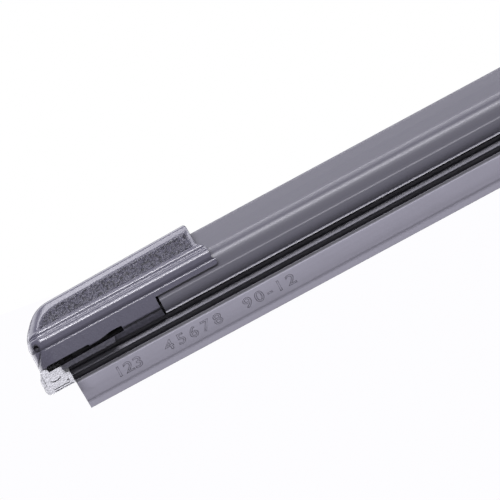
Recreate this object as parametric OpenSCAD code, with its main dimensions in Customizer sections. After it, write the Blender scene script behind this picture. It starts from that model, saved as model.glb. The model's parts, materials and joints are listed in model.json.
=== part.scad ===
// Flat windscreen wiper blade: two sprung steel rails in the rubber's grooves, spoilers clipped
// round the rails, a moulded cap on each end and a riveted connector with a hook adapter.
// Millimetres. +X runs along the blade, +Z away from the glass, -Y is the spoiler's long flank.
// The origin is the axis of the cross pin, where the wiper arm's hook sits.
// Sections are drawn about the rails' middle plane: x across the blade, y up.

/* [Blade] */
// Length of the rubber strip along the blade
rubber_len = 600; // [450:10:700]
// Radius of the relaxed blade's bow over its middle
bow_r = 1250; // [1000:50:2000]
// Length at each end that stays straight
straight_tip = 120; // [90:5:150]
// Height of the cross pin above the rails' middle plane
pin_height = 12; // [11.5:0.1:13.5]

/* [Rails] */
// Width of one rail
rail_w = 4; // [3.6:0.1:4.4]
// Thickness of one rail
rail_t = 0.9; // [0.7:0.05:1.1]
// Gap between the two rails
rail_gap = 2.2; // [2:0.1:2.6]
// How much shorter each rail is than the rubber, at each end
rail_setback = 2; // [1:0.5:4]
// Length of the latch notch in a rail's outer edge
notch_len = 4; // [3:0.5:5]
// Depth of that notch
notch_depth = 1.2; // [0.8:0.1:1.6]

/* [Rubber] */
// Half width of the head that lies over the rails
head_half = 2.6; // [2.3:0.1:2.8]
// Height of the head above the rails
head_h = 1.3; // [1:0.1:1.5]
// Half width of the keel that lies under the rails
keel_half = 2.3; // [2:0.1:2.4]
// Depth of the keel below the rails
keel_h = 1.4; // [1.2:0.1:1.6]
// Half width of the neck under the keel
neck_half = 1.3; // [1:0.1:1.5]
// Height of the neck
neck_h = 1.45; // [1.2:0.05:1.8]
// Half width of the flange that keeps the lip from rolling over too far
flange_half = 3.3; // [2.8:0.1:3.8]
// Thickness of that flange
flange_t = 0.7; // [0.5:0.05:0.9]
// Half thickness of the thin web that lets the lip tilt
web_half = 0.55; // [0.4:0.05:0.8]
// Height of the web
web_h = 1; // [0.8:0.05:1.4]
// Half width of the wedge's shoulder
shoulder_half = 2.4; // [2:0.1:2.8]
// Thickness of the shoulder's edge
shoulder_t = 0.9; // [0.8:0.05:1.1]
// Height of the wedge under the shoulder
wedge_h = 4.2; // [3.6:0.1:4.8]
// Height of the wiping lip
lip_h = 1.6; // [1.3:0.05:2]
// Half thickness of the wiping lip at its edge
lip_half = 0.38; // [0.3:0.02:0.5]

/* [Spoiler] */
// Half width of the spoiler at the rails
spoiler_half = 6; // [5.8:0.1:6.4]
// Height of the spoiler's crest above the rails' middle plane
crest_z = 10.15; // [9:0.05:11.5]
// How far the crest leans to the rear
crest_y = 2.6; // [1.5:0.1:3.4]
// Height of the crease along the long flank
crease_z = 4.15; // [3.6:0.05:5]
// Hollow of the long flank between crease and crest
flank_sag = 0.15; // [0:0.05:0.3]
// Depth of the claws' lower edge below the rails' middle plane
claw_z = 1.8; // [1.7:0.05:1.9]
// Gap between each spoiler's end and the cap's lower wall
spoiler_gap = 0.5; // [0.3:0.1:0.8]

/* [End caps] */
// Reach of a cap beyond the rubber's end
cap_reach = 5.7; // [5.2:0.1:7]
// Length of the cap's upper flank
cap_top_len = 41; // [38:0.5:46]
// Length of the cap's ridge and tongue, at the foot of the flank
cap_tongue_len = 43.4; // [42:0.2:50]
// Length of the cap's lower wall
cap_wall_len = 28.6; // [27:0.2:32]
// Height of the cap's crest above the spoiler's crest, at the nose
cap_rise = 1.7; // [1.5:0.1:2.2]
// Rise of the cap's crest from the nose to its inboard end
cap_slope = 0.6; // [0:0.1:1]
// Thickness of the cap's outboard wall
cap_end_wall = 1.6; // [1.2:0.1:2.2]
// Depth of the textured panel inside the cap's rim
panel_depth = 0.3; // [0.2:0.05:0.4]
// Width of that rim
rim_w = 1.1; // [0.8:0.1:1.5]

/* [End stops] */
// Depth of an end stop's foot below the rails' middle plane
stop_z = 5.5; // [5:0.1:6.2]
// How far an end stop stands proud of the cap's nose
stop_proud = 0.9; // [0.4:0.1:1.2]
// Half width of an end stop
stop_half = 3.3; // [2.8:0.1:3.8]

/* [Connector] */
// Half length of the steel bridge bracket
bracket_half = 32; // [28:1:36]
// Length of each pair of crimped claws on the bracket
bracket_claw_len = 12; // [9:0.5:14]
// Thickness of the bracket's sheet
sheet_t = 1.1; // [0.9:0.05:1.2]
// Radius of the cross pin
pin_r = 2.4; // [2:0.05:2.8]
// Radius of the pin's riveted heads
pin_head_r = 3.5; // [3.2:0.1:4]
// Thickness of the pin's riveted heads
pin_head_t = 0.7; // [0.5:0.05:0.75]
// Half length of the plastic housing
housing_half = 52; // [50:1:60]
// Thickness of the housing's side walls
housing_wall = 1.4; // [1.2:0.1:1.8]
// How far the housing's ends cover the spoilers
housing_overlap = 9; // [6:0.5:12]
// Half length of the window that the arm's hook enters by
window_half = 28; // [27.5:0.5:30]

/* [Hook adapter] */
// Width of the arm's hook strip
hook_w = 9; // [8:0.1:9.2]
// Inner radius of the arm's hook
hook_r = 4.5; // [4.2:0.1:4.8]
// Length of the adapter's core behind the pin
core_len = 15; // [12:0.5:17]
// Length of the adapter's side walls behind the pin
adapter_tail = 23; // [20:0.5:24]
// Length of the adapter's side walls ahead of the pin
adapter_nose = 9; // [8:0.5:10]
// Thickness of the adapter's side walls
adapter_wall = 0.9; // [0.7:0.05:1]
// Half height of the adapter's side walls
adapter_half = 6.3; // [5.8:0.1:6.5]

/* [Fits] */
// Play between a rail and what grips it
rail_play = 0.12; // [0.08:0.01:0.18]
// Play between the rubber and the claws
rubber_play = 0.2; // [0.1:0.02:0.3]
// Play between the spoiler and what covers it
cover_play = 0.2; // [0.1:0.02:0.3]
// Radial play of the adapter on the cross pin
pin_play = 0.06; // [0.03:0.01:0.1]
// Play on each side of the adapter between the bracket's cheeks
cheek_play = 0.3; // [0.2:0.05:0.5]

/* [Hidden] */

$fn = 48;
SWEEP_FN = 256;
EPS = 0.01;

rubber_half = rubber_len / 2;
bend_half = rubber_half - straight_tip;
bow_angle = 180 / PI / bow_r;

// Levels of the section, about the rails' middle plane
rail_in = rail_gap / 2;
rail_out = rail_in + rail_w;
rail_top = rail_t / 2;
slot_half = rail_out + rail_play;
slot_z = rail_top + rail_play;
groove_z = rail_top + 0.05;
head_top = groove_z + head_h;
chamber_z = head_top + rubber_play;
chamber_half = head_half + rubber_play;
mouth_half = keel_half + rubber_play;
keel_z = -groove_z - keel_h;
neck_z = keel_z - neck_h;
flange_z = neck_z - flange_t;
web_z = flange_z - web_h;
shoulder_z = web_z - shoulder_t;
wedge_z = shoulder_z - wedge_h;
tip_z = wedge_z - lip_h;

// Tip frame of a cap: x inboard from the cap's outboard outline
cap_station = rubber_half + cap_reach;
cap_crest = crest_z + cap_rise;
spoiler_end = cap_station - cap_wall_len - spoiler_gap;
spoiler_start = housing_half - housing_overlap;
cap_proud = 0.6;
cap_half = spoiler_half + cap_proud;
strip_z = claw_z + 0.2;
strip_x = 4.5;
slot_x = 1.6;
slot_end = 19.6;
notch_x = 12.2;
sill_end = 17.5;
tongue_z = 2.3;
rear_extra = 2.4;
nest_x = cap_reach - 0.1;
ridge_top = 7.4;
bulge_top = 6.3;
bulge_base = 3.75;

// Levels of the connector
plate_z = chamber_z + 0.1;
plate_top = plate_z + sheet_t;
cheek_in = hook_w / 2 + 0.1 + adapter_wall + cheek_play;
cheek_out = cheek_in + sheet_t;
bracket_out = cheek_out;
pin_head_out = cheek_out + pin_head_t;
housing_in = pin_head_out + cover_play;
housing_out = housing_in + housing_wall;
housing_top = pin_height + 5;
swing = 12;

rubber_color = [0.16, 0.16, 0.18];
spoiler_color = [0.36, 0.36, 0.38];
cap_color = [0.26, 0.26, 0.28];
stop_color = [0.66, 0.66, 0.68];
steel_color = [0.55, 0.56, 0.58];

// Rounds a section's number, so that the swept and the straight stretch share their edges
function tidy(v) = round(v * 100) / 100;

// Turn of the bow at a station, in whole thousandths of a degree so that stretches meet exactly
function turn(s) = round(s * bow_angle * 1000) / 1000;

// Overlap of a straight tip with the bow that it runs on from, if it does
function lap(a, limit) = a < limit ? EPS : 0;

// Points of an arc about [x, y] from angle a to angle b
function arc(x, y, r, a, b, steps = 6) =
    [for (i = [0:steps]) let (t = a + (b - a) * i / steps) [tidy(x + r * cos(t)), tidy(y + r * sin(t))]];

// Points between p and q, sagging by s to the right of the way from p to q
function sagging(p, q, s, steps = 6) =
    let (d = q - p, n = [d[1], -d[0]] / norm(d))
    [for (i = [1:steps - 1]) let (t = i / steps, v = p + d * t + n * s * 4 * t * (1 - t))
        [tidy(v[0]), tidy(v[1])]];

// The given right-hand points, closed by their mirror image
function both_sides(pts) = concat(pts, [for (i = [len(pts) - 1:-1:0]) [-pts[i][0], pts[i][1]]]);

// Runs a section along the blade's middle line, from station a to station b
module along(a, b) {
    from = max(a, -bend_half);
    to = min(b, bend_half);
    if (to > from)
        translate([0, 0, -bow_r - pin_height]) rotate([0, -90, -90])
            rotate_extrude(angle = turn(to) - turn(from), start = turn(from), $fn = SWEEP_FN)
                translate([bow_r, 0]) mirror([1, -1, 0]) children();
    if (b > bend_half)
        at_station(max(a, bend_half)) translate([-lap(a, bend_half), 0, 0])
            straight(b - max(a, bend_half) + lap(a, bend_half)) children();
    if (a < -bend_half)
        at_station(a) straight(min(b, -bend_half) - a + lap(-b, bend_half)) children();
}

// Puts its children at a station of the blade, x along the blade and z up from the rails
module at_station(s) {
    bend = max(-bend_half, min(bend_half, s));
    translate([0, 0, -bow_r - pin_height]) rotate([0, turn(bend), 0])
        translate([s - bend, 0, bow_r]) children();
}

// A section run straight along x
module straight(length) {
    rotate([90, 0, 90]) linear_extrude(length) children();
}

// A side outline of x and z, run across the blade from y a to y b
module across(a, b) {
    translate([0, b, 0]) rotate([90, 0, 0]) linear_extrude(b - a) children();
}

// One half of a pair: the left piece as modelled, the right one its mirror image
module end_of(side) {
    mirror([side > 0 ? 1 : 0, 0, 0]) at_station(-cap_station) children();
}

module rubber_section() {
    polygon(both_sides([
        [head_half - 0.4, head_top], [head_half, head_top - 0.4], [head_half, groove_z],
        [rail_in - 0.1, groove_z], [rail_in - 0.1, -groove_z], [keel_half, -groove_z],
        [keel_half, keel_z + 0.3], [keel_half - 0.3, keel_z], [neck_half, keel_z - 0.2],
        [neck_half, neck_z + 0.3], [neck_half + 0.3, neck_z],
        [flange_half - 0.3, neck_z - 0.05], [flange_half - 0.14, neck_z - 0.2],
        [flange_half, neck_z - 0.55], [flange_half - 0.08, flange_z + 0.05], [flange_half - 0.2, flange_z],
        [web_half + 0.25, flange_z], [web_half, flange_z - 0.25],
        [web_half, web_z + 0.3], [web_half + 0.25, web_z + 0.05],
        [shoulder_half - 0.45, web_z], [shoulder_half - 0.25, web_z - 0.15],
        [shoulder_half - 0.25, shoulder_z + 0.35], [shoulder_half, shoulder_z + 0.15],
        [shoulder_half, shoulder_z + 0.03], [shoulder_half - 0.28, shoulder_z - 0.1],
        [shoulder_half - 0.3, shoulder_z - 0.2],
        [shoulder_half - 0.62, shoulder_z - 1.5], [shoulder_half - 1.08, shoulder_z - 2.9],
        [lip_half + 0.42, wedge_z + 0.05], [lip_half + 0.17, wedge_z - 0.28],
        [lip_half + 0.06, wedge_z - 0.6], [lip_half, tip_z]
    ]));
}

module rail_section() {
    translate([rail_in, -rail_top]) square([rail_w, rail_t]);
}

// Room for the rails, the rubber's head and its keel
module claw_channel(below) {
    translate([-slot_half, -slot_z]) square([2 * slot_half, 2 * slot_z]);
    translate([-chamber_half, -slot_z]) square([2 * chamber_half, slot_z + chamber_z]);
    translate([-mouth_half, -below - 1]) square([2 * mouth_half, below + 1]);
}

// Outline of the spoiler: long flank to the front with a rounded crease, short one to the rear
module spoiler_outline() {
    crease = [-5.41, crease_z];
    crest_f = [crest_y - 0.55, crest_z - 0.25];
    crest_r = [crest_y + 0.65, crest_z - 0.6];
    heel = [spoiler_half - 0.75, 1.9];
    turn = [
        [-0.45, -2.3], [-0.37, -1.5], [-0.28, -1], [-0.16, -0.5], [0, 0], [0.23, 0.5], [0.56, 1], [0.99, 1.5],
        [1.57, 2], [1.93, 2.25]
    ];
    polygon(concat(
        [[-mouth_half, -claw_z], [-5.5, -claw_z], [-5.38, -claw_z + 0.32]],
        [[-5.26, -claw_z + 0.44], [-5.5, -1.12], [-5.8, -0.68], [-5.95, -0.2], [-spoiler_half, 0.3]],
        [[-spoiler_half, 1.32], [-spoiler_half + 0.12, 1.5]],
        [for (p = turn) crease + p],
        sagging(crease + turn[9], crest_f, flank_sag, 5),
        [crest_f, crest_f + [0.16, 0.14], [crest_y - 0.2, crest_z], [crest_y + 0.25, crest_z]],
        [crest_r + [-0.13, 0.3], crest_r],
        sagging(crest_r, heel, 0.8, 7),
        [heel, [spoiler_half, 0.5], [spoiler_half, 0], [5.88, -0.6], [5.62, -1.02]],
        [[5.3, -1.4], [4.95, -claw_z], [mouth_half, -claw_z]]
    ));
}

module spoiler_section() {
    difference() {
        spoiler_outline();
        claw_channel(claw_z);
    }
}

module rubber_element() {
    color(rubber_color) along(-rubber_half, rubber_half) rubber_section();
}

module rail(side) {
    reach = rubber_half - rail_setback;
    color(steel_color) difference() {
        along(-reach, reach) mirror([side < 0 ? 1 : 0, 0]) rail_section();
        for (end = [-1, 1])
            end_of(end) translate([notch_x, side > 0 ? rail_out - notch_depth : -rail_out - 1, -1])
                cube([notch_len, notch_depth + 1, 2]);
    }
}

module spoiler(side) {
    color(spoiler_color)
        if (side < 0) along(-spoiler_end, -spoiler_start) spoiler_section();
        else along(spoiler_start, spoiler_end) spoiler_section();
}

// Outer section of a cap: rimmed flank, two beads, rounded bulge, tongue and lower wall
module cap_section() {
    top = cap_crest + cap_slope;
    polygon(concat(
        [[-mouth_half, -strip_z], [-5.3, -strip_z], [-5.55, -1.5], [-5.74, -0.95], [-5.8, -0.4]],
        [[-cap_half + 0.8, -0.15], [-cap_half + 0.08, -0.12], [-cap_half, 0.02]],
        [[-cap_half, 1.2], [-cap_half + 0.08, tongue_z], [-cap_half + 0.18, bulge_base - 0.3]],
        [[-cap_half + 0.28, bulge_base - 0.12], [-cap_half + 0.45, bulge_base]],
        [[-6.38, bulge_base + 0.25], [-6.58, bulge_base + 0.7], [-6.62, bulge_base + 1.25]],
        [[-6.5, bulge_top - 0.75], [-6.25, bulge_top - 0.4], [-5.85, bulge_top - 0.13], [-5.4, bulge_top]],
        [[-4.98, bulge_top + 0.02], [-4.95, bulge_top + 0.16], [-4.76, bulge_top + 0.36]],
        [[-4.42, bulge_top + 0.44], [-4.36, ridge_top - 0.36], [-4.26, ridge_top - 0.16]],
        [[-4.02, ridge_top - 0.02], [-3.4, ridge_top + 0.02], [-3.1, ridge_top + 0.2]],
        sagging([-3.1, ridge_top + 0.2], [crest_y - 1.4, top - 0.5], 0.35, 6),
        [[crest_y - 1.4, top - 0.5], [crest_y - 1.15, top - 0.22], [crest_y - 0.7, top], [crest_y + 1.1, top]],
        [[crest_y + 1.6, top - 0.2], [crest_y + 1.9, top - 0.6]],
        sagging([crest_y + 1.9, top - 0.6], [cap_half - 0.3, 2.6], 0.5, 8),
        [[cap_half - 0.3, 2.6], [cap_half, 1.2], [cap_half, 0], [6.25, -0.45], [6.1, -0.95], [5.75, -1.45]],
        [[5.3, -strip_z], [mouth_half, -strip_z]]
    ));
}

// Side outline of a cap, with its nose, its rising crest and its stepped inboard end
module cap_side(wall_len) {
    top = cap_crest + cap_slope;
    end = cap_tongue_len;
    polygon([
        [0, -0.1], [0, 4.6], [0.08, 5.3], [0.26, 5.95], [0.58, 6.72], [1, 7.45], [1.5, 8.12], [2.1, 8.78],
        [2.9, 9.65], [3.9, 10.5], [4.9, 11.12], [6, 11.52], [7, 11.75], [8.1, cap_crest],
        [cap_top_len - 1.1, top], [cap_top_len - 0.6, top - 0.1], [cap_top_len - 0.15, top - 0.5],
        [cap_top_len, top - 1.1], [cap_top_len, ridge_top + 0.5], [cap_top_len + 0.25, ridge_top + 0.2],
        [cap_top_len + 0.85, ridge_top], [end - 1, bulge_top + 0.4], [end - 0.7, bulge_top - 0.1],
        [end - 0.6, bulge_top - 0.7], [end - 0.6, bulge_base + 0.2], [end - 0.1, bulge_base - 0.05],
        [end, bulge_base - 0.3], [end, tongue_z + 0.7], [end - 0.25, tongue_z + 0.2], [end - 0.8, tongue_z],
        [wall_len, tongue_z], [wall_len, -strip_z], [strip_x, -strip_z], [strip_x, -0.1]
    ]);
}

// Plan outline of a cap, with its two rounded outboard corners
module cap_plan() {
    corner = 4.5;
    long = cap_tongue_len + 1;
    union() {
        for (s = [-1, 1])
            intersection() {
                translate([corner, s * (cap_half - corner)]) circle(corner);
                translate([-EPS, -cap_half]) square([corner + EPS, 2 * cap_half]);
            }
        translate([corner, -cap_half]) square([long - corner, 2 * cap_half]);
        translate([0, corner - cap_half]) square([long, 2 * (cap_half - corner)]);
    }
}

// Latch window in a cap's wall, as a side outline
module latch_window() {
    polygon([
        [slot_x, -1.05], [slot_x + 0.12, -0.5], [slot_x + 0.35, -0.1], [slot_x + 0.75, 0.15],
        [slot_x + 1.3, 0.25], [11.5, 0.25], [11.7, 0.1], [11.85, -0.22], [13.5, -0.12],
        [16, 0.3], [17, 0.45], [slot_end - 0.2, 0.45], [slot_end, 0.3], [slot_end, -0.6],
        [slot_end - 0.2, -0.78], [notch_x, -0.9], [strip_x, -1.08], [strip_x, -3], [slot_x, -3]
    ]);
}

// Sill that closes a latch window from below, as a side outline
module latch_sill() {
    polygon([[strip_x, -strip_z], [sill_end - 0.5, -strip_z], [sill_end, -0.6], [strip_x, -0.6]]);
}

module end_cap(side) {
    inner_x = cap_end_wall;
    color(cap_color) end_of(side) difference() {
        intersection() {
            union() {
                straight(cap_tongue_len + 1) cap_section();
                // Sill under each latch window
                for (s = [-1, 1])
                    across(s > 0 ? slot_half : -6.2, s > 0 ? 6.2 : -slot_half) latch_sill();
            }
            union() {
                across(-cap_half - 1, EPS) cap_side(cap_wall_len);
                across(0, cap_half + 1) cap_side(cap_wall_len + rear_extra);
            }
            translate([0, 0, -strip_z - 1]) linear_extrude(cap_crest + cap_slope + strip_z + 2) cap_plan();
        }
        // Hollow over the spoiler's end
        translate([cap_wall_len - EPS, 0, 0]) straight(cap_tongue_len) offset(delta = cover_play) spoiler_outline();
        // Hollow nose above the rails
        translate([inner_x + 5, 0, 0]) straight(cap_wall_len - inner_x - 5) cap_core();
        // Claws round the rails
        translate([nest_x, 0, 0]) straight(cap_wall_len) claw_channel(strip_z);
        // Socket for the end stop's tenon
        translate([inner_x, -mouth_half, -strip_z - 1]) cube([nest_x, 2 * mouth_half, strip_z + 1 - slot_z + 0.32]);
        // Latch windows in both walls
        across(-cap_half - 1, -mouth_half - 0.7) latch_window();
        across(mouth_half + 0.7, cap_half + 1) latch_window();
        // Textured panel inside the rim of the long flank
        flank_panel();
    }
}

// Hollow inside a cap's nose
module cap_core() {
    wall = 1.5;
    polygon([
        [-cap_half + wall + 0.4, chamber_z], [-cap_half + wall + 0.5, 3.2], [-1.4, 7.6],
        [crest_y - 0.4, crest_z - 0.6], [crest_y + 0.8, crest_z - 0.6], [cap_half - wall - 0.9, 3.2],
        [cap_half - wall - 0.4, chamber_z]
    ]);
}

// Shallow pocket in the cap's upper flank, set in from the crest, the nose and the inboard end
module flank_panel() {
    low = [-3.1, ridge_top + 0.2];
    high = [crest_y - 1.4, cap_crest + cap_slope - 0.5];
    lean = atan2(high[0] - low[0], high[1] - low[1]);
    reach = norm(high - low) - rim_w;
    translate([0, low[0], low[1]]) rotate([-lean, 0, 0]) translate([0, -2 + panel_depth, 0])
        rotate([90, 0, 0]) mirror([0, 0, 1]) linear_extrude(2)
            polygon([
                [2.6, 0.1], [4.2, reach * 0.55], [6.2, reach * 0.88], [8.6, reach],
                [cap_top_len - rim_w - 0.6, reach + 0.35], [cap_top_len - rim_w, reach - 0.2],
                [cap_top_len - rim_w, 0.1]
            ]);
}

// Moulded stop under a cap's nose that covers the rubber's end
module end_stop(side) {
    foot_len = cap_reach - 0.1;
    color(stop_color) end_of(side) {
        difference() {
            union() {
                // Head under the nose, outboard of the cap's claws
                across(-stop_half - 1.4, stop_half + 1.4)
                    polygon([
                        [0.05, -0.15], [slot_x - 0.05, -0.15], [slot_x + 0.05, -1.12], [strip_x - 0.1, -1.12],
                        [strip_x - 0.1, -strip_z - 0.05], [foot_len, -strip_z - 0.05], [foot_len, -stop_z],
                        [-stop_proud + 0.6, -stop_z], [-stop_proud, -stop_z + 0.7], [-stop_proud, -2.2],
                        [-stop_proud + 0.4, -1.4]
                    ]);
                // Tenon between the cap's claws
                translate([slot_x + 0.1, -mouth_half + 0.1, -1.2])
                    cube([strip_x - slot_x - 0.2, 2 * mouth_half - 0.2, 1.2 - slot_z + 0.3]);
            }
            // Round the two outboard corners in plan
            for (s = [-1, 1])
                translate([-stop_proud, s * (stop_half + 1.4), -stop_z - 1]) difference() {
                    translate([-2, -2, 0]) cube([4, 4, stop_z + 2]);
                    translate([2, -s * 2, -1]) cylinder(r = 2, h = stop_z + 4);
                }
        }
    }
}

// Section of the bracket's base: a plate over the rubber's head, with walls down to the rails
module bracket_section(lips) {
    difference() {
        translate([-bracket_out, -strip_z]) square([2 * bracket_out, strip_z + plate_top]);
        translate([-slot_half, -slot_z]) square([2 * slot_half, plate_z + slot_z]);
        translate([-(lips ? mouth_half + 0.6 : slot_half), -strip_z - 1])
            square([2 * (lips ? mouth_half + 0.6 : slot_half), strip_z + 1]);
        if (!lips)
            translate([-bracket_out - 1, -strip_z - 1]) square([2 * bracket_out + 2, strip_z + 1 + plate_z - 0.6]);
    }
}

module bridge_bracket() {
    claw_in = bracket_half - bracket_claw_len;
    color(steel_color) difference() {
        union() {
            along(-claw_in, claw_in) bracket_section(false);
            for (s = [-1, 1])
                along(s < 0 ? -bracket_half : claw_in, s < 0 ? -claw_in : bracket_half) bracket_section(true);
            // Cheeks that carry the cross pin
            for (s = [-1, 1])
                across(s > 0 ? cheek_in : -cheek_out, s > 0 ? cheek_out : -cheek_in)
                    cheek_outline();
        }
        rotate([90, 0, 0]) cylinder(r = pin_r + 0.02, h = 4 * cheek_out, center = true);
    }
}

module cheek_outline() {
    top_r = pin_head_r + 0.8;
    base = plate_z - pin_height + 0.3;
    circle(top_r);
    polygon([[-top_r, 0], [top_r, 0], [top_r + 3.5, base], [-top_r - 3.5, base]]);
}

module pivot_pin() {
    color(steel_color) rotate([90, 0, 0]) {
        cylinder(r = pin_r, h = 2 * cheek_out, center = true);
        for (s = [-1, 1])
            mirror([0, 0, s > 0 ? 0 : 1]) translate([0, 0, cheek_out]) {
                cylinder(r = pin_head_r, h = pin_head_t * 0.4);
                translate([0, 0, pin_head_t * 0.4])
                    cylinder(r1 = pin_head_r, r2 = pin_head_r - 0.8, h = pin_head_t * 0.6);
            }
    }
}

// Side outline of the housing: low ends over the spoilers, a high middle round the window
module housing_side() {
    low = crest_z + 1.4 - pin_height;
    high = housing_top - pin_height;
    drop = housing_half * housing_half / (2 * bow_r);
    foot = -pin_height - strip_z + 0.6;
    half = [
        [housing_half, low - drop - 1.6], [housing_half - 1.2, low - drop], [window_half + 13, low + 0.4],
        [window_half + 6.5, high - 1.2], [window_half + 3.5, high], [window_half - 0.5, high],
        [window_half - 6, high - 1.8], [0, high - 2.4]
    ];
    polygon(concat(
        [[housing_half, foot - drop]], half,
        [for (i = [len(half) - 2:-1:0]) [-half[i][0], half[i][1]]],
        [[-housing_half, foot - drop], [-housing_half / 2, foot - drop / 4], [0, foot]],
        [[housing_half / 2, foot - drop / 4]]
    ));
}

// Plan outline of the housing: wide at the pin, drawn in to the spoilers' width at its ends
module housing_plan() {
    waist = spoiler_half + 1.3;
    polygon(concat(
        [[housing_half, -waist + 0.8], [housing_half, waist - 0.8], [housing_half - 1, waist]],
        [[window_half + 11, waist + 0.1], [window_half + 1, housing_out - 0.3], [window_half - 3, housing_out]],
        [[-window_half + 3, housing_out], [-window_half - 1, housing_out - 0.3], [-window_half - 11, waist + 0.1]],
        [[-housing_half + 1, waist], [-housing_half, waist - 0.8], [-housing_half, -waist + 0.8]],
        [[-housing_half + 1, -waist], [-window_half - 11, -waist - 0.1], [-window_half - 1, -housing_out + 0.3]],
        [[-window_half + 3, -housing_out], [window_half - 3, -housing_out], [window_half + 1, -housing_out + 0.3]],
        [[window_half + 11, -waist - 0.1], [housing_half - 1, -waist]]
    ));
}

module connector_housing() {
    inner = window_half + 6;
    color(cap_color) difference() {
        intersection() {
            translate([-housing_half, 0, -pin_height]) straight(2 * housing_half) housing_section();
            across(-housing_out - 1, housing_out + 1) housing_side();
            translate([0, 0, -40]) linear_extrude(80) housing_plan();
        }
        // Window for the arm's hook, down to the bracket
        translate([-window_half, -cheek_in - 0.05, plate_top - pin_height + 0.1])
            cube([2 * window_half, 2 * cheek_in + 0.1, 40]);
        // Room for the bracket, its cheeks and the pin's heads
        translate([-bracket_half - 0.4, -bracket_out - cover_play, -40])
            cube([2 * bracket_half + 0.8, 2 * (bracket_out + cover_play), 40 + plate_top - pin_height + 0.15]);
        for (s = [-1, 1])
            translate([-pin_head_r - 5, s > 0 ? cheek_in - 0.05 : -housing_in, -pin_height])
                cube([2 * pin_head_r + 10, housing_in - cheek_in + 0.05, pin_height + pin_head_r + 1]);
        // Room for the spoilers' ends and for the rubber and rails between them
        for (s = [-1, 1])
            along(s < 0 ? -housing_half - 2 : spoiler_start - 0.3, s < 0 ? -spoiler_start + 0.3 : housing_half + 2)
                offset(delta = cover_play) spoiler_outline();
        along(-housing_half - 2, housing_half + 2) {
            translate([-slot_half - 0.3, -4]) square([2 * slot_half + 0.6, 4 + slot_z]);
            translate([-chamber_half - 0.1, 0]) square([2 * chamber_half + 0.2, chamber_z]);
        }
    }
}

// Section of the housing, with sides that lean in to a rounded top
module housing_section() {
    side = housing_out;
    polygon(both_sides([
        [side - 1.4, housing_top], [side - 0.5, housing_top - 0.5], [side, housing_top - 3],
        [side, -6]
    ]));
}

// Adapter: a core that the arm's hook wraps round, between two guide walls
module hook_adapter() {
    wall_in = hook_w / 2 + 0.1;
    wall_out = wall_in + adapter_wall;
    color(spoiler_color) difference() {
        union() {
            across(-wall_in - EPS, wall_in + EPS) core_outline();
            for (s = [-1, 1])
                across(s > 0 ? wall_in : -wall_out, s > 0 ? wall_out : -wall_in) adapter_side();
            // Stud that snaps into the hook's hole
            translate([core_len - 6, 0, hook_r - EPS]) cylinder(r1 = 1.6, r2 = 1.1, h = 0.9);
        }
        rotate([90, 0, 0]) cylinder(r = pin_r + pin_play, h = 4 * wall_out, center = true);
    }
}

module core_outline() {
    circle(hook_r);
    translate([0, -hook_r]) square([core_len, 2 * hook_r]);
}

// Side wall of the adapter, cut away below so that it clears the bracket over its swing
module adapter_side() {
    rise = (adapter_tail - adapter_nose) * tan(swing) + 0.6;
    polygon([
        [-adapter_nose, -adapter_half + 2.4], [-adapter_nose + 2.2, -adapter_half], [adapter_nose - 1, -adapter_half],
        [adapter_tail, -adapter_half + rise], [adapter_tail, adapter_half - 3.2],
        [adapter_tail - 2.6, adapter_half - 0.8], [core_len, adapter_half],
        [-adapter_nose + 2.2, adapter_half], [-adapter_nose, adapter_half - 2.4]
    ]);
}

rubber_element();
rail(-1);  // rail_front
rail(1);  // rail_rear
spoiler(-1);  // spoiler_left
spoiler(1);  // spoiler_right
end_cap(-1);  // end_cap_left
end_cap(1);  // end_cap_right
end_stop(-1);  // end_stop_left
end_stop(1);  // end_stop_right
bridge_bracket();
connector_housing();
pivot_pin();
hook_adapter();
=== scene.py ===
"""Looks of a flat windscreen wiper blade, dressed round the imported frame.

The camera sees the blade's left end from the side, rolled so that the blade climbs to the right.
Lengths are in metres, or in millimetres where a name ends in _mm. Tip coordinates run x inboard
from the cap's outboard outline, y across the blade (front is negative) and z up from the middle
plane of the rails.
"""

from __future__ import annotations

import json
import logging
import math
from contextlib import contextmanager
from dataclasses import dataclass
from enum import Enum
from functools import cache
from typing import Callable, Iterable, Iterator, Sequence

import bpy
from mathutils import Matrix, Vector

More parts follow.
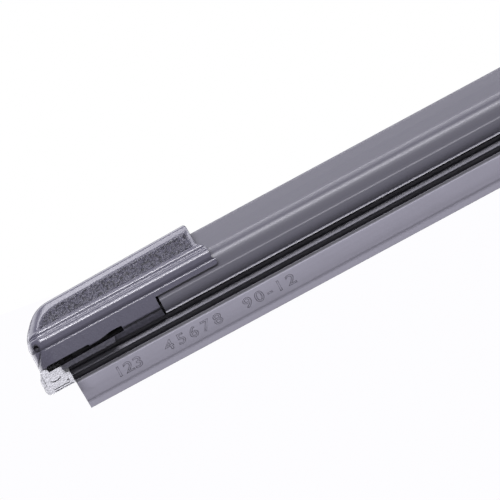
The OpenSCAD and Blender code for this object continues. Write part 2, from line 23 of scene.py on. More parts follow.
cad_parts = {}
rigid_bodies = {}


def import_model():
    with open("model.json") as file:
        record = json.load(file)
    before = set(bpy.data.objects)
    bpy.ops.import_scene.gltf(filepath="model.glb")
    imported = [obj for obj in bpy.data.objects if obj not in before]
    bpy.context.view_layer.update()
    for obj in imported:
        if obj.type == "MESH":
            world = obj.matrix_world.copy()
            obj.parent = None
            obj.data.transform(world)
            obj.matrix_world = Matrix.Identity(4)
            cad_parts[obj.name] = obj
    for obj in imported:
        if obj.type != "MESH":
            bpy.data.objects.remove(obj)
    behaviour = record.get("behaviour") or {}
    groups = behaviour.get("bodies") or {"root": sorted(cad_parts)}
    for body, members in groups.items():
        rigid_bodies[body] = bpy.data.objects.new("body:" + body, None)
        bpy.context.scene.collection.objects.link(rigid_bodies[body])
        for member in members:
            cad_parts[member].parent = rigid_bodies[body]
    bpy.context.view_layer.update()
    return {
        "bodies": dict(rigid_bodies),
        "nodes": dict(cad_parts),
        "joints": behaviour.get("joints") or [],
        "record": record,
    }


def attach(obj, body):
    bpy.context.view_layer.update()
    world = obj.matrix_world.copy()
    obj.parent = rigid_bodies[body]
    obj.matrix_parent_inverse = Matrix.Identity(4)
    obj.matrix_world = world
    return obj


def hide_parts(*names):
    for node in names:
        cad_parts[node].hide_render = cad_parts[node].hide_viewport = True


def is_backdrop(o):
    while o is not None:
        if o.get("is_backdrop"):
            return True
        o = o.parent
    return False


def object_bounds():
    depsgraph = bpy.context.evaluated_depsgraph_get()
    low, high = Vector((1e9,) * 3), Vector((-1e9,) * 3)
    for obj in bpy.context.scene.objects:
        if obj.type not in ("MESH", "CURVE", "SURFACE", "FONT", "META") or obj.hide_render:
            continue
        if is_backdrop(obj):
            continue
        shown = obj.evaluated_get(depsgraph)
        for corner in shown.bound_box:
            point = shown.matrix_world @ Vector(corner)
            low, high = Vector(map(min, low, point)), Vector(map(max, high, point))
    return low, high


log = logging.getLogger("wiper_blade")

MM = 0.001
Point = tuple[float, float]
Triple = tuple[float, float, float]
Corner = Triple
Colour = Triple
Piece = bpy.types.Object


class Side(Enum):
    """Which end of the blade a piece belongs to."""

    LEFT = -1
    RIGHT = 1

    @property
    def word(self) -> str:
        """Ending of the names of this side's pieces."""
        return self.name.lower()


def smooth_step(low: float, high: float, value: float) -> float:
    """Rises smoothly from 0 where value is low to 1 where it is high."""
    t = min(1.0, max(0.0, (value - low) / (high - low)))
    return t * t * (3.0 - 2.0 * t)


def soft_min(a: float, b: float, blend: float) -> float:
    """Smaller of two numbers, rounded over where they are less than blend apart."""
    h = max(blend - abs(a - b), 0.0) / blend
    return min(a, b) - h * h * blend / 4.0


def scaled(colour: Colour, share: float) -> Colour:
    """A share of a colour."""
    red, green, blue = colour
    return red * share, green * share, blue * share


# Numbers of the Mix node's colour inputs and of its colour output
MIX_A, MIX_B, MIX_RESULT = 6, 7, 2


class Socket:
    """A node's output, on which Python's operators add Math nodes."""

    def __init__(self, nodes: "Nodes", output: bpy.types.NodeSocket) -> None:
        """Wraps an output of one of a tree's nodes."""
        self.nodes = nodes
        self.output = output

    def maths(self, operation: str, *values: "Socket | float") -> "Socket":
        """Result of a Math node with the given values as its inputs."""
        return self.nodes.node("Math", {"operation": operation}, dict(enumerate(values)))

    def __add__(self, other: "Socket | float") -> "Socket":
        """Sum."""
        return self.maths("ADD", self, other)

    def __sub__(self, other: "Socket | float") -> "Socket":
        """Difference."""
        return self.maths("SUBTRACT", self, other)

    def __rsub__(self, other: float) -> "Socket":
        """Difference from a number."""
        return self.maths("SUBTRACT", other, self)

    def __mul__(self, other: "Socket | float") -> "Socket":
        """Product."""
        return self.maths("MULTIPLY", self, other)

    def between(self, low: float, high: float) -> "Socket":
        """Smooth step from 0 at low to 1 at high."""
        settings = {"interpolation_type": "SMOOTHSTEP"}
        return self.nodes.node("MapRange", settings, {"Value": self, 1: low, 2: high})


class Nodes:
    """A node tree under construction."""

    def __init__(self, tree: bpy.types.NodeTree) -> None:
        """Wraps the tree."""
        self.tree = tree

    def node(self, kind: str, settings: dict, inputs: dict, output: int | str = 0) -> Socket:
        """Adds a node of any kind.

        Args:
            kind: The node's type, without the ShaderNode before it.
            settings: Its own settings, set before its sockets.
            inputs: Values or links of its inputs, by name or number.
            output: Name or number of the output that is wanted.

        Returns:
            That output.
        """
        made = self.tree.nodes.new(f"ShaderNode{kind}")
        for name, value in settings.items():
            setattr(made, name, value)
        for name, value in inputs.items():
            self.feed(made.inputs[name], value)
        return Socket(self, made.outputs[output])

    def feed(self, target: bpy.types.NodeSocket, value: object) -> None:
        """Links a Socket to an input, or sets the input's value.

        Args:
            target: The input.
            value: A Socket, a number, a vector or a colour without its alpha.
        """
        if isinstance(value, Socket):
            self.tree.links.new(value.output, target)
        elif isinstance(value, tuple) and len(value) == 3 and target.type == "RGBA":
            target.default_value = (*value, 1.0)
        else:
            target.default_value = value

    def mix(self, factor: Socket, a: Colour | Socket, b: Colour | Socket) -> Socket:
        """Blend of two colours, the first where factor is 0 and the second where it is 1."""
        inputs = {"Factor": factor, MIX_A: a, MIX_B: b}
        return self.node("Mix", {"data_type": "RGBA"}, inputs, MIX_RESULT)

    def seen(self) -> Socket:
        """1 for what the camera sees directly, and 0 in mirrors and for the light."""
        return self.node("LightPath", {}, {}, "Is Camera Ray")


class Shader(Nodes):
    """A material under construction: its node tree and its Principled node."""

    def __init__(self, name: str) -> None:
        """Makes an empty node material with the given name."""
        self.material = bpy.data.materials.new(name)
        self.material.use_nodes = True
        super().__init__(self.material.node_tree)
        self.surface = self.tree.nodes["Principled BSDF"]

    def set(self, name: str, value: object) -> None:
        """Feeds one of the Principled node's inputs with a value or a link."""
        self.feed(self.surface.inputs[name], value)

    def place(self, along: float = 1.0) -> Socket:
        """Millimetres along, across and out from the blade's line, the first times a factor."""
        vector = self.node("Attribute", {"attribute_name": "blade"}, {}, "Vector")
        return self.node("Mapping", {}, {"Vector": vector, "Scale": (along, 1.0, 1.0)})

    def amount(self, name: str) -> Socket:
        """A number that the mesh carries at its points."""
        return self.node("Attribute", {"attribute_name": name}, {}, "Fac")

    def noise(self, size_mm: float, detail: float = 2.0, along: float = 1.0) -> Socket:
        """Noise around 0.5.

        Args:
            size_mm: How large its lumps are.
            detail: How many finer layers it has.
            along: Less than 1 draws the lumps out along the blade.

        Returns:
            The noise.
        """
        inputs = {"Vector": self.place(along), "Scale": 1.0 / size_mm, "Detail": detail}
        return self.node("TexNoise", {}, inputs, "Fac")

    def bump(self, height: Socket, depth_mm: float) -> None:
        """Bumps the surface by a height of which 1 stands for depth_mm."""
        inputs = {"Height": height, "Distance": depth_mm * MM, "Strength": 1.0}
        self.set("Normal", self.node("Bump", {}, inputs, "Normal"))


@dataclass(frozen=True)
class Finish:
    """A finish: its material slot in the record, its colour and its gloss."""

    name: str
    slot: str
    colour: Colour
    roughness: float
    variation: float = 0.06
    lump_mm: float = 5.0

    def build(self) -> bpy.types.Material:
        """Makes the material: a base that varies gently, and what the finish adds to it."""
        shader = Shader(self.name)
        shader.set("Roughness", self.roughness)
        shader.set("Base Color", self.tone(shader, shader.noise(self.lump_mm)))
        self.dress(shader)
        return shader.material

    def tone(self, shader: Shader, factor: Socket) -> Socket:
        """The colour, a little darker and lighter as a factor goes from 0 to 1.

        Args:
            shader: The material's nodes.
            factor: The factor.

        Returns:
            The toned colour.
        """
        dark, light = (scaled(self.colour, 1.0 + way * self.variation) for way in (-1, 1))
        return shader.mix(factor.between(0.3, 0.7), dark, light)

    def dress(self, shader: Shader) -> None:
        """Adds what is particular to the finish. A plain finish gets a faint moulded grain."""
        shader.bump(shader.noise(0.35), 0.01)


@dataclass(frozen=True)
class ExtrudedPlastic(Finish):
    """Satin plastic with faint die lines along the blade."""

    def dress(self, shader: Shader) -> None:
        """Adds die lines, long along the blade and fine across it."""
        lines = shader.noise(0.5, 3.0, 0.003)
        shader.set("Base Color", self.tone(shader, lines))
        shader.set("Roughness", lines * 0.06 + (self.roughness - 0.03))
        shader.bump(lines, 0.001)


@dataclass(frozen=True)
class PebbledPlastic(Finish):
    """Moulded plastic with a pebbled grain, smoother and shinier on its rims."""

    pebble_mm: float = 0.5
    depth_mm: float = 0.6

    def dress(self, shader: Shader) -> None:
        """Adds Voronoi pebbles as strong as the mesh's pebble attribute says, painted shade between
        them.
        """
        amount = shader.amount("pebble")
        cells = shader.node(
            "TexVoronoi",
            {"feature": "SMOOTH_F1"},
            {"Vector": shader.place(), "Scale": 1.0 / self.pebble_mm, "Smoothness": 0.5},
            "Distance",
        )
        fine = shader.noise(0.22, 3.0)
        height = (1.0 - cells) * amount + fine * (amount * 0.35 + 0.012)
        shader.bump(height, self.depth_mm)
        # Painted shade: the colour is darker between the pebbles, where the bump sinks, with a
        # random tone on top.
        hollow_shade_and_tone = (cells * 0.8 - 0.24) * amount + shader.noise(1.1) * 0.35 + 0.12
        # Painted shade, mottled: the colour goes towards a quarter of itself where the sunk
        # attribute says, inside, in recesses and grooves; the set-back band below is darkened the
        # same way.
        patches = shader.noise(0.7).between(0.3, 0.7)
        sunk = shader.amount("sunk") * (patches * 0.4 + 0.6)
        dark = scaled(self.colour, 0.25)
        shader.set("Base Color", shader.mix(sunk, self.tone(shader, 1.0 - hollow_shade_and_tone), dark))
        shader.set("Roughness", amount * 0.1 + sunk * 0.4 + self.roughness)


@dataclass(frozen=True)
class GraphiteRubber(Finish):
    """Matt rubber whose wedge is dusted with graphite, with faint streaks and stamped figures."""

    bare: Colour = (0.145, 0.142, 0.167)

    def layered(self, shader: Shader, coat: Socket) -> Socket:
        """The coated wedge, with painted shade on its lip, the shoulder and the keel, and the bare
        neck.

        Args:
            shader: The material's nodes.
            coat: The coated wedge's colour.

        Returns:
            The colour over the whole section.
        """
        height = shader.node("SeparateXYZ", {}, {0: shader.place()}, "Z")
        # Painted shade: the lip below the coated wedge is darker than the coat.
        wedge = shader.mix(height.between(-10.5, -10.2), scaled(self.colour, 0.82), coat)
        # Painted shade: the keel, inside the channel, is near black.
        neck = shader.mix(height.between(-2.3, -2.0), self.bare, scaled(self.bare, 0.12))
        # Painted shade: the shoulder band is half as light as the bare rubber.
        upper = shader.mix(height.between(-5.5, -4.6), scaled(self.bare, 0.5), neck)
        return shader.mix(height.between(-6.0, -5.7), wedge, upper)

    def dress(self, shader: Shader) -> None:
        """Adds streaks along the strip, a fine dust and the darker stamped lines."""
        streaks = shader.noise(0.8, 3.0, 0.008)
        dust = shader.noise(0.3)
        patches = shader.noise(3.0, along=0.3)
        coat = self.tone(shader, streaks * 0.4 + dust * 0.25 + patches * 0.35)
        ink = scaled(self.colour, 0.5)
        inked = shader.mix(shader.amount("stamped"), self.layered(shader, coat), ink)
        shader.set("Base Color", inked)
        shader.bump(dust * 0.6 + streaks * 0.4, 0.006)


@dataclass(frozen=True)
class BrushedSteel(Finish):
    """Bare or plated steel with rolling lines."""

    metallic: float = 1.0

    def dress(self, shader: Shader) -> None:
        """Makes the surface metal and adds rolling lines along the blade."""
        shader.set("Metallic", self.metallic)
        lines = shader.noise(0.3, 3.0, 0.02)
        shader.set("Roughness", lines * 0.2 + (self.roughness - 0.1))
        shader.bump(lines, 0.004)


RUBBER = GraphiteRubber("graphite_rubber", "rubber", (0.33, 0.32, 0.375), 0.5)
SPOILER = ExtrudedPlastic("extruded_spoiler", "spoiler", (0.09, 0.088, 0.108), 0.33, 0.03)
CAP = PebbledPlastic("pebbled_cap", "cap", (0.055, 0.053, 0.071), 0.22, 0.55)
HOUSING = PebbledPlastic("pebbled_housing", "cap", (0.055, 0.054, 0.064), 0.34, 0.3)
STOP = PebbledPlastic("granular_stop", "stop", (0.5, 0.5, 0.52), 0.45, 0.2, pebble_mm=0.4)
RAIL = BrushedSteel("rail_steel", "rail", (0.03, 0.03, 0.032), 0.5, metallic=0.6)
BRACKET = Finish("bracket_black", "bracket", (0.035, 0.035, 0.04), 0.4)
PIN = BrushedSteel("pin_steel", "pin", (0.55, 0.55, 0.57), 0.32)
ADAPTER = PebbledPlastic(
    "adapter_plastic", "adapter", (0.14, 0.14, 0.15), 0.42, 0.2, pebble_mm=0.35
)


@dataclass(frozen=True)
class BladeLine:
    """The blade's middle line: a bow in the middle and straight tips."""

    bow_radius_mm: float = 1250.0
    rubber_half_mm: float = 300.0
    straight_mm: float = 120.0
    pin_height_mm: float = 12.0
    cap_reach_mm: float = 5.7

    @property
    def tip_turn(self) -> float:
        """Slope of a straight tip, in radians."""
        return (self.rubber_half_mm - self.straight_mm) / self.bow_radius_mm

    def tip_matrix(self, side: Side) -> Matrix:
        """Takes tip coordinates in millimetres to the row frame in metres.

        Args:
            side: Which end of the blade.

        Returns:
            The matrix, mirrored for the right end.
        """
        reach = self.straight_mm + self.cap_reach_mm
        drop = Matrix.Translation((0, 0, -self.bow_radius_mm - self.pin_height_mm))
        turn = Matrix.Rotation(-self.tip_turn, 4, "Y")
        out = Matrix.Translation((-reach, 0, self.bow_radius_mm))
        mirror = Matrix.Diagonal((-side.value, 1, 1, 1))
        return Matrix.Scale(MM, 4) @ mirror @ drop @ turn @ out

    def unbent(self, point: Vector) -> tuple[float, float, float]:
        """Takes a point from the row frame to the straightened blade.

        Args:
            point: The point, in metres.

        Returns:
            Millimetres along, across and out from the line.
        """
        x, y, z = point / MM
        rise = z + self.bow_radius_mm + self.pin_height_mm
        turn = max(-self.tip_turn, min(self.tip_turn, math.atan2(x, rise)))
        along = x * math.cos(turn) - rise * math.sin(turn)
        out = x * math.sin(turn) + rise * math.cos(turn) - self.bow_radius_mm
        return self.bow_radius_mm * turn + along, y, out

    def bent(self, along: float, across: float, out: float) -> Vector:
        """Takes a point from the straightened blade to the row frame.

        Args:
            along: Millimetres along the line.
            across: Millimetres across it.
            out: Millimetres out from it.

        Returns:
            The point, in metres.
        """
        turn = max(-self.tip_turn, min(self.tip_turn, along / self.bow_radius_mm))
        rest, reach = along - self.bow_radius_mm * turn, out + self.bow_radius_mm
        x = rest * math.cos(turn) + reach * math.sin(turn)
        rise = reach * math.cos(turn) - rest * math.sin(turn)
        return Vector((x, across, rise - self.bow_radius_mm - self.pin_height_mm)) * MM


LINE = BladeLine()

# Faces that meet at less than this many degrees are joined before a round
FLAT_DEG = 0.6


def linked(name: str, data: bpy.types.ID) -> Piece:
    """A new object that shows the data in the scene."""
    made = bpy.data.objects.new(name, data)
    bpy.context.scene.collection.objects.link(made)
    return made


def make_only(piece: Piece) -> None:
    """Makes a piece the one selected and active object."""
    bpy.ops.object.select_all(action="DESELECT")
    piece.select_set(True)
    bpy.context.view_layer.objects.active = piece


def shade_smooth(piece: Piece, degrees: float = 32.0) -> None:
    """Shades a piece smooth across edges flatter than an angle."""
    make_only(piece)
    bpy.ops.object.shade_smooth_by_angle(angle=math.radians(degrees))


@contextmanager
def editing(piece: Piece) -> Iterator[None]:
    """Edit mode on a piece, with its whole mesh selected at first."""
    make_only(piece)
    bpy.ops.object.mode_set(mode="EDIT")
    bpy.ops.mesh.select_all(action="SELECT")
    yield
    bpy.ops.object.mode_set(mode="OBJECT")


def clean(piece: Piece, distance: float = 1e-6) -> None:
    """Merges a piece's doubled points and turns its faces outwards.

    Args:
        piece: The piece.
        distance: Points closer than this are merged.
    """
    with editing(piece):
        bpy.ops.mesh.remove_doubles(threshold=distance)
        bpy.ops.mesh.normals_make_consistent(inside=False)


def round_edges(piece: Piece, width: float, degrees: float = 35.0) -> None:
    """Joins a piece's flat faces and rounds the edges between them.

    Args:
        piece: The piece, a closed form.
        width: How far the round reaches from an edge.
        degrees: Edges flatter than this are left.
    """
    with editing(piece):
        bpy.ops.mesh.dissolve_limited(angle_limit=math.radians(FLAT_DEG))
    bevel(piece, width, degrees)


def bevel(piece: Piece, width: float, degrees: float) -> None:
    """Rounds the sharp edges of a piece.

    Args:
        piece: The piece.
        width: How far a round reaches from its edge.
        degrees: Edges flatter than this are left.
    """
    angle = math.radians(degrees)
    settings = {"width": width, "segments": 2, "limit_method": "ANGLE", "angle_limit": angle}
    apply_modifier(piece, "BEVEL", **settings)


def apply_modifier(piece: Piece, kind: str, **settings: object) -> None:
    """Adds a modifier with the given settings and applies it.

    Args:
        piece: The piece to modify.
        kind: The modifier's type.
        **settings: Its settings.
    """
    make_only(piece)
    modifier = piece.modifiers.new(kind.lower(), kind)
    for name, value in settings.items():
        setattr(modifier, name, value)
    bpy.ops.object.modifier_apply(modifier=modifier.name)


def cut(piece: Piece, tool: Piece, keep: bool = False) -> None:
    """Cuts a closed tool out of a piece, or keeps only what lies in it, and deletes the tool.

    Args:
        piece: The piece that is cut.
        tool: The cutting shape.
        keep: True to keep what the two share.
    """
    operation = "INTERSECT" if keep else "DIFFERENCE"
    apply_modifier(piece, "BOOLEAN", operation=operation, object=tool, solver="EXACT")
    bpy.data.objects.remove(tool, do_unlink=True)


def prism(outline: Sequence[Point], axis: str, start: float, end: float) -> Piece:
    """A closed prism of an outline, made by extruding its face.

    Args:
        outline: Points of the outline, in order.
        axis: "x" for an outline of y and z, "y" for one of x and z, "z" for one of x and y.
        start: Where the prism starts along its axis.
        end: Where it ends.

    Returns:
        The prism, in the outline's units.
    """
    mesh = bpy.data.meshes.new("prism")
    index = "xyz".index(axis)
    points = [(*pair[:index], start, *pair[index:]) for pair in outline]
    move = tuple(end - start if k == index else 0.0 for k in range(3))
    mesh.from_pydata(points, [], [tuple(range(len(points)))])
    made = linked("prism", mesh)
    with editing(made):
        bpy.ops.mesh.extrude_region_move(TRANSFORM_OT_translate={"value": move})
        bpy.ops.mesh.select_all(action="SELECT")
        bpy.ops.mesh.normals_make_consistent(inside=False)
    return made


def skin(name: str, rows: Sequence[Sequence[Vector]], weld: float) -> Piece:
    """A closed form through rows of points, one row for each station.

    Args:
        name: Its name.
        rows: The rows, all of one length, each a closed section whose last point is its first.
        weld: Points closer than this are merged.

    Returns:
        The form, closed at both ends.
    """
    across = len(rows[0])
    cells = {"x_subdivisions": across - 1, "y_subdivisions": len(rows) - 1}
    bpy.ops.mesh.primitive_grid_add(size=1.0, **cells)
    made = bpy.context.object
    made.name = name
    for i, vertex in enumerate(made.data.vertices):
        vertex.co = rows[i // across][i % across]
    clean(made, weld)
    with editing(made):
        bpy.ops.mesh.select_all(action="DESELECT")
        bpy.ops.mesh.select_mode(type="EDGE")
        bpy.ops.mesh.select_non_manifold()
        bpy.ops.mesh.fill_holes(sides=0)
        bpy.ops.mesh.select_all(action="SELECT")
        bpy.ops.mesh.normals_make_consistent(inside=False)
    return made


def ball(centre: Sequence[float], radii: Sequence[float]) -> Piece:
    """An ellipsoid, as a cutting shape.

    Args:
        centre: Its centre.
        radii: Its three radii.

    Returns:
        The ellipsoid.
    """
    bpy.ops.mesh.primitive_uv_sphere_add(segments=24, ring_count=14, radius=1.0)
    made = bpy.context.object
    made.data.transform(Matrix.Translation(centre) @ Matrix.Diagonal((*radii, 1.0)))
    return made


def join_to(piece: Piece, part: Piece, weld: bool = True) -> None:
    """Adds a part to a piece, welded into one skin or simply as more of its mesh.

    Args:
        piece: The piece that grows.
        part: What is added. Its object goes.
        weld: True to unite the two closed forms.
    """
    if weld:
        apply_modifier(piece, "BOOLEAN", operation="UNION", object=part, solver="EXACT")
        bpy.data.objects.remove(part, do_unlink=True)
        return
    make_only(piece)
    part.select_set(True)
    bpy.ops.object.join()


def weigh(piece: Piece, name: str, amount: Callable[[Vector], float]) -> None:
    """Stores a number at each of a piece's points, as amount gives it for the point.

    Args:
        piece: The piece.
        name: Name of the attribute.
        amount: The number for a point.
    """
    layer = piece.data.attributes.new(name, "FLOAT", "POINT")
    for vertex in piece.data.vertices:
        layer.data[vertex.index].value = amount(vertex.co)


def seat(piece: Piece, matrix: Matrix) -> None:
    """Moves a piece's mesh from tip coordinates to the row frame, the right way out.

    Args:
        piece: The piece, in millimetres from the tip.
        matrix: The tip's matrix.
    """
    piece.data.transform(matrix)
    if matrix.determinant() < 0:
        piece.data.flip_normals()
    piece.data.update()


def put_finish(piece: Piece, finish: Finish) -> None:
    """Gives a piece one finish all over, and the coordinates that its texture needs.

    Args:
        piece: The piece, in the row frame.
        finish: Its finish.
    """
    layer = piece.data.attributes.new("blade", "FLOAT_VECTOR", "POINT")
    for vertex in piece.data.vertices:
        layer.data[vertex.index].vector = LINE.unbent(vertex.co)
    piece.data.materials.clear()
    piece.data.materials.append(material_of(finish))


@cache
def material_of(finish: Finish) -> bpy.types.Material:
    """The material of a finish, made once."""
    return finish.build()


def level(line: Sequence[Point], x: float) -> float:
    """Height of a line at x. Past its end it stays level.

    Args:
        line: The line's points, in order of x.
        x: Where the height is wanted.

    Returns:
        The height.
    """
    for (x0, z0), (x1, z1) in zip(line, line[1:]):
        if x <= x1:
            return z0 + (z1 - z0) * (x - x0) / (x1 - x0)
    return line[-1][1]


def filleted(corners: Sequence[Corner], steps: int = 5) -> list[Point]:
    """Rounds the corners of an open outline.

    Args:
        corners: Points as x, y and corner radius.
        steps: Points along each round.

    Returns:
        The outline's points.
    """
    points: list[Point] = []
    for i, (x, y, radius) in enumerate(corners):
        here = Vector((x, y))
        if radius <= 0.0 or i in (0, len(corners) - 1):
            points.append((x, y))
            continue
        back = Vector(corners[i - 1][:2]) - here
        ahead = Vector(corners[i + 1][:2]) - here
        reach = min(radius, back.length * 0.48, ahead.length * 0.48)
        a, b = here + back.normalized() * reach, here + ahead.normalized() * reach
        for k in range(steps + 1):
            t = k / steps
            p = a * (1 - t) ** 2 + here * 2 * t * (1 - t) + b * t * t
            points.append((p.x, p.y))
    return points


def spaced(points: Sequence[Point], step: float) -> list[Point]:
    """Adds points to a polyline.

    Args:
        points: The polyline.
        step: The furthest that two neighbours may lie apart.

    Returns:
        The polyline with its new points.
    """
    out = [points[0]]
    for a, b in zip(points, points[1:]):
        count = max(1, math.ceil(math.dist(a, b) / step))
        for k in range(1, count + 1):
            t = k / count
            out.append((a[0] + (b[0] - a[0]) * t, a[1] + (b[1] - a[1]) * t))
    return out


def grown(outline: Sequence[Point], gap: float) -> list[Point]:
    """A closed outline, moved outwards all round.

    Args:
        outline: The outline's points, anticlockwise or clockwise.
        gap: How far it moves.

    Returns:
        The moved outline.
    """
    count = len(outline)
    area = sum(a[0] * b[1] - b[0] * a[1] for a, b in zip(outline, [*outline[1:], outline[0]]))
    turn = 1.0 if area > 0 else -1.0
    out: list[Point] = []
    for i, point in enumerate(outline):
        here = Vector(point)
        before = (here - Vector(outline[i - 1])).normalized()
        after = (Vector(outline[(i + 1) % count]) - here).normalized()
        bisector = Vector((before.y + after.y, -before.x - after.x)) * turn
        bisector.normalize()
        miter = max(0.4, bisector.dot(Vector((after.y, -after.x)) * turn))
        moved = here + bisector * gap / miter
        out.append((moved.x, moved.y))
    return out


def mirrored(half: Sequence[Point]) -> list[Point]:
    """The points of a section's right half, closed by their mirror image."""
    return [*half, *((-y, z) for y, z in reversed(half))]


# Outline of a spoiler as y, z and corner radius, from the front claw over the crest to the rear
SPOILER_OUTLINE: Sequence[Corner] = (
    (-5.5, -1.8, 0.04), (-5.39, -1.46, 0.06), (-5.26, -1.36, 0.03), (-5.5, -1.12, 0.4),
    (-5.8, -0.68, 0.4), (-5.95, -0.2, 0.4), (-6.0, 0.3, 0.4), (-5.98, 1.1, 0.2), (-5.9, 1.42, 0.2),
    (-5.86, 1.85, 0.4), (-5.79, 2.75, 0.4), (-5.71, 3.4, 0.4), (-5.6, 3.95, 0.4),
    (-5.44, 4.43, 0.4), (-5.22, 4.86, 0.4), (-4.86, 5.3, 0.4), (-4.35, 5.82, 0.2),
    (-3.4, 6.45, 0.2), (-0.65, 8.05, 0.4), (2.05, 9.9, 0.4), (2.21, 10.04, 0.4), (2.4, 10.15, 0.4),
    (2.85, 10.15, 0.4), (3.12, 9.85, 0.4), (3.25, 9.55, 0.4), (3.62, 7.2, 0.4), (4.3, 4.5, 0.4),
    (5.25, 1.9, 0.4), (6.0, 0.5, 0.4), (6.0, 0.0, 0.4), (5.88, -0.6, 0.4), (5.62, -1.02, 0.4),
    (5.3, -1.4, 0.4), (4.95, -1.8, 0.05),
)
# Right half of the rubber's section, from the head down to the lip
RUBBER_HALF: Sequence[Corner] = (
    (2.2, 1.8, 0.1), (2.6, 1.4, 0.1), (2.6, 0.5, 0.03), (1.0, 0.5, 0.0), (1.0, -0.5, 0.0),
    (2.3, -0.5, 0.03), (2.3, -1.6, 0.06), (2.0, -1.9, 0.1), (1.3, -2.1, 0.1), (1.3, -2.75, 0.12),
    (1.6, -3.0, 0.12), (2.9, -3.0, 0.1), (3.01, -3.1, 0.06), (3.12, -3.45, 0.1), (3.28, -3.9, 0.04),
    (3.22, -4.0, 0.03), (3.1, -4.05, 0.03), (0.8, -4.05, 0.1), (0.55, -4.3, 0.1),
    (0.55, -4.75, 0.1), (0.8, -5.15, 0.1), (1.95, -5.2, 0.04), (1.98, -5.36, 0.04),
    (1.99, -5.65, 0.1), (2.02, -5.76, 0.06), (2.1, -5.94, 0.04), (2.15, -6.02, 0.03),
    (2.12, -6.1, 0.03), (2.1, -6.2, 0.04), (1.78, -7.45, 0.5), (1.32, -8.85, 0.5),
    (0.8, -10.1, 0.12), (0.55, -10.43, 0.15), (0.44, -10.75, 0.2), (0.38, -11.92, 0.02),
    (0.35, -11.95, 0.02),
)
# Right half of the channel that holds the rubber's head and the rails
CHANNEL: Sequence[Point] = (
    (2.5, -4.0), (2.5, -0.57), (5.22, -0.57), (5.22, 0.57), (2.8, 0.57), (2.8, 2.0),
)


def rubber_section() -> list[Point]:
    """Closed section of the rubber, from the head down the right side and up the left."""
    half = filleted(((0.0, 1.8, 0.0), *RUBBER_HALF, (0.0, -11.95, 0.0)), 4)
    return spaced([*half, *((-y, z) for y, z in reversed(half[:-1]))], 0.4)


def spoiler_section() -> list[Point]:
    """Closed section of a spoiler: its outline, rounded, and the channel for rails and rubber."""
    inside = [(y, z, 0.02) for y, z in mirrored([(2.5, -1.8), *CHANNEL[1:]])]
    loop = [(-2.5, -1.8, 0.0), *SPOILER_OUTLINE, *inside[:-1], (-2.5, -1.8, 0.0)]
    return spaced(filleted(loop, 4), 0.4)


@dataclass
class Extrusion:
    """A piece of one section, swept along the blade's line from end to end of its CAD node."""

    node: str
    finish: Finish
    section: Sequence[Point]
    degrees: float = 24.0
    slant: float = 0.0
    pivot_mm: float = 8.0
    step_mm: float = 6.0

    def stations(self, frame: dict) -> list[float]:
        """Places along the line at which the section is set.


        Returns:
            Millimetres along the line, from one end of the CAD node to the other.
        """
        points = frame["nodes"][self.node].data.vertices
        runs = [LINE.unbent(vertex.co)[0] for vertex in points]
        start, end = min(runs), max(runs)
        count = math.ceil((end - start) / self.step_mm)
        return [start + (end - start) * k / count for k in range(count + 1)]

    def sweep(self, frame: dict) -> Piece:
        """Sweeps the section along the line, the two ends cut on the slant.


        Returns:
            The closed sweep, in the row frame.
        """
        stations = self.stations(frame)
        half, rows = (stations[-1] - stations[0]) / 2.0, []
        for x in stations:
            lean = self.slant * x / half
            rows.append([LINE.bent(x + lean * (z + self.pivot_mm), y, z) for y, z in self.section])
        return skin(f"{self.node}_sweep", rows, 2e-6)

    def build(self, frame: dict) -> Piece:
        """Replaces the CAD node by its sweep.


        Returns:
            The new piece.
        """
        piece = self.sweep(frame)
        shade_smooth(piece, self.degrees)
        self.detail(piece)
        put_finish(piece, self.finish)
        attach(piece, "blade")
        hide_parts(self.node)
        return piece

    def detail(self, piece: Piece) -> None:
        """Adds what the piece has besides its section. A plain extrusion has nothing."""


@dataclass
class Moulding:
    """A moulded piece, modelled once in tip coordinates and put at both ends of the blade."""

    node: str
    finish: Finish

    def model(self) -> Piece:
        """Models the piece in tip coordinates."""
        raise NotImplementedError

    def build(self) -> Piece:
        """Puts the left piece and its mirror image in their CAD nodes' places.

        Returns:
            The left piece.
        """
        left = self.model()
        right = linked(left.name, left.data.copy())
        for side, piece in ((Side.LEFT, left), (Side.RIGHT, right)):
            piece.name = f"{self.node}_{side.word}_moulded"
            seat(piece, LINE.tip_matrix(side))
            put_finish(piece, self.finish)
            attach(piece, "blade")
            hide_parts(f"{self.node}_{side.word}")
        return left


